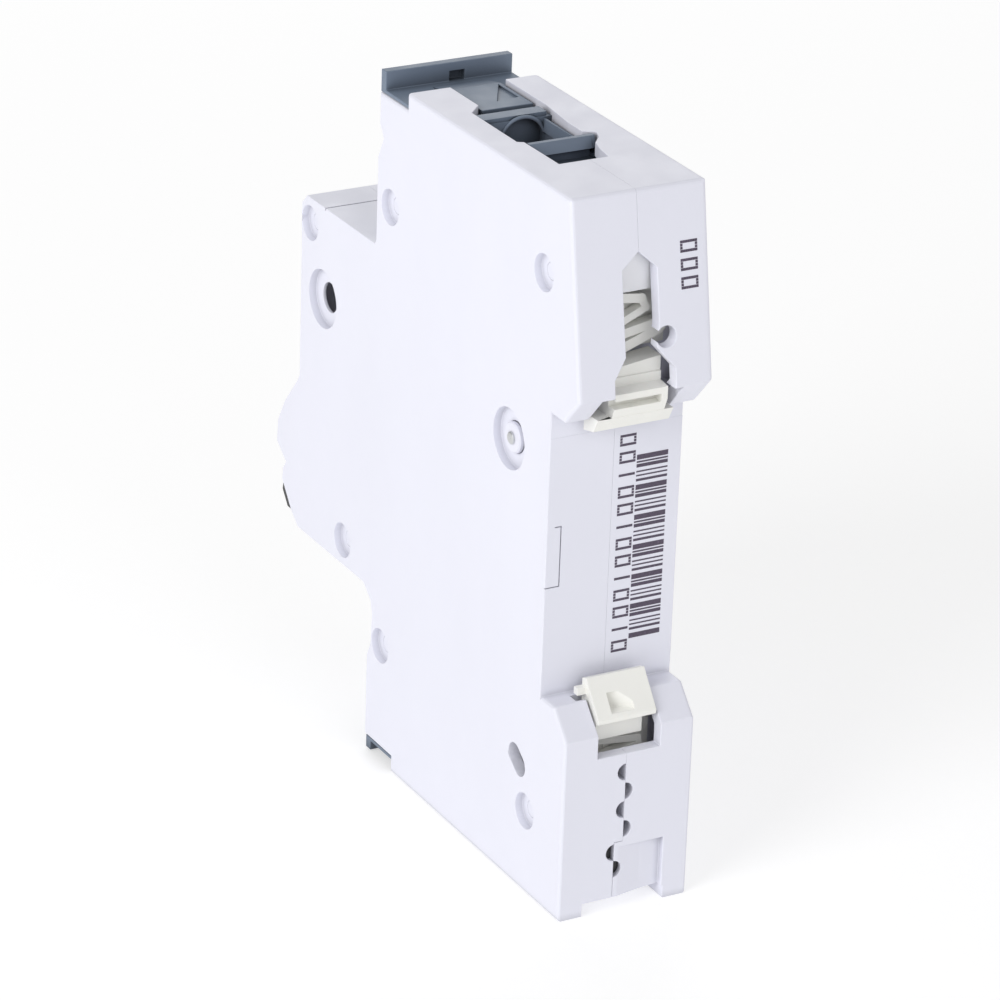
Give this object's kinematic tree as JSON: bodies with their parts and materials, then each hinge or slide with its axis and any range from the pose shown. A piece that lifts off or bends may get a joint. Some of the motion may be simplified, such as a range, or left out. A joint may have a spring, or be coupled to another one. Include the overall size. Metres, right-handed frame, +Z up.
{
  "type": "miniature circuit breaker",
  "caption": "Slim light grey rail-mount circuit breaker, one pole wide, with black toggle, slate terminal covers and cream rail clips, internals included.",
  "frame": {"origin": "centre of the rail seat on the floor of the rail recess", "axes": "+Z up, -Y towards the toggle, +Y towards the rail, X across the width"},
  "size_m": [0.0172, 0.0796, 0.0888],
  "materials": {
    "case_plastic": "fine matt light grey moulding",
    "cover_plastic": "matt slate grey moulding",
    "cream_plastic": "semi-matt cream acetal",
    "black_plastic": "matt black moulding",
    "steel": "bright zinc-plated",
    "copper": null,
    "brass": "plain brass",
    "silver": "dull silver contact metal",
    "fibre": "pressed fibre board"
  },
  "bodies": {
    "case": {"case_left_shell": "case_plastic", "case_right_shell": "case_plastic", "case_rivets": "case_plastic", "upper_terminal_cover": "cover_plastic", "lower_terminal_cover": "cover_plastic", "upper_contact_plate": "copper", "lower_contact_plate": "copper", "bimetal_carrier": "steel", "calibration_screw": "brass", "magnet_yoke": "steel", "coil_bobbin": "cream_plastic", "coil_winding": "copper", "fixed_core": "steel", "fixed_contact_strap": "copper", "fixed_contact_tip": "silver", "upper_arc_runner": "copper", "lower_arc_runner": "copper", "arc_chute_plates": "steel", "arc_chute_frame": "fibre", "toggle_pin": "steel", "toggle_spring": "steel", "lever_pin": "steel", "flexible_braid": "copper", "plunger_spring": "steel", "upper_clip_spring": "cream_plastic", "lower_clip_spring": "cream_plastic", "upper_clamp_shroud": "cover_plastic", "lower_clamp_shroud": "cover_plastic"},
    "toggle": {"toggle_handle": "black_plastic"},
    "link": {"link_wire": "steel"},
    "arm": {"contact_arm": "copper", "moving_contact_tip": "silver", "latch_plate": "steel", "contact_spring": "steel"},
    "trip": {"trip_lever": "cream_plastic"},
    "bimetal": {"bimetal_strip": "steel"},
    "plunger": {"plunger": "steel", "plunger_pin": "brass"},
    "upper_screw": {"upper_clamp_screw": "steel"},
    "upper_cage": {"upper_clamp_cage": "steel"},
    "lower_screw": {"lower_clamp_screw": "steel"},
    "lower_cage": {"lower_clamp_cage": "steel"},
    "upper_clip": {"upper_rail_clip": "cream_plastic"},
    "lower_clip": {"lower_rail_clip": "cream_plastic"}
  },
  "joints": [
    {"name": "toggle_switch", "type": "hinge", "parent": "case", "child": "toggle", "pos_m": [0, -0.055, -0.008], "axis": [-1, 0, 0], "range_deg": [0, 80]},
    {"name": "link_swing", "type": "hinge", "parent": "toggle", "child": "link", "pos_m": [0, -0.05183, -0.0044], "axis": [1, 0, 0], "range_deg": [0, 119.6]},
    {"name": "contact_close", "type": "hinge", "parent": "case", "child": "arm", "pos_m": [0, -0.044, -0.009], "axis": [1, 0, 0], "range_deg": [0, 18], "deforming": ["flexible_braid"]},
    {"name": "trip_swing", "type": "hinge", "parent": "case", "child": "trip", "pos_m": [0, -0.044, -0.009], "axis": [1, 0, 0], "range_deg": [0, 10], "stiffness_Nm_per_rad": 0.02},
    {"name": "bimetal_bend", "type": "hinge", "parent": "case", "child": "bimetal", "pos_m": [0, -0.0361, 0.0201], "axis": [-1, 0, 0], "range_deg": [0, 5], "stiffness_Nm_per_rad": 0.05},
    {"name": "plunger_slide", "type": "slide", "parent": "case", "child": "plunger", "axis": [0, 0, -1], "range_m": [0, 0.0024], "stiffness_N_per_m": 60, "deforming": ["plunger_spring"]},
    {"name": "upper_screw_turn", "type": "hinge", "parent": "case", "child": "upper_screw", "pos_m": [0, -0.04, 0.033], "axis": [0, 1, 0], "range_deg": [0, 1441]},
    {"name": "upper_cage_lift", "type": "slide", "parent": "case", "child": "upper_cage", "axis": [0, -1, 0], "range_m": [0, 0.0032]},
    {"name": "lower_screw_turn", "type": "hinge", "parent": "case", "child": "lower_screw", "pos_m": [0, -0.04, -0.033], "axis": [0, 1, 0], "range_deg": [0, 1441]},
    {"name": "lower_cage_lift", "type": "slide", "parent": "case", "child": "lower_cage", "axis": [0, -1, 0], "range_m": [0, 0.0032]},
    {"name": "upper_clip_slide", "type": "slide", "parent": "case", "child": "upper_clip", "axis": [0, 0, 1], "range_m": [0, 0.0019], "stiffness_N_per_m": 800, "deforming": ["upper_clip_spring"]},
    {"name": "lower_clip_slide", "type": "slide", "parent": "case", "child": "lower_clip", "axis": [0, 0, -1], "range_m": [0, 0.0024], "stiffness_N_per_m": 800, "deforming": ["lower_clip_spring"]}
  ],
  "couplings": [
    {"joint": "link_swing", "follows": "toggle_switch", "ratio": 1.495},
    {"joint": "contact_close", "follows": "toggle_switch", "ratio": 0.225},
    {"joint": "upper_screw_turn", "follows": "upper_cage_lift", "rad_per_m": 7854},
    {"joint": "lower_screw_turn", "follows": "lower_cage_lift", "rad_per_m": 7854}
  ]
}
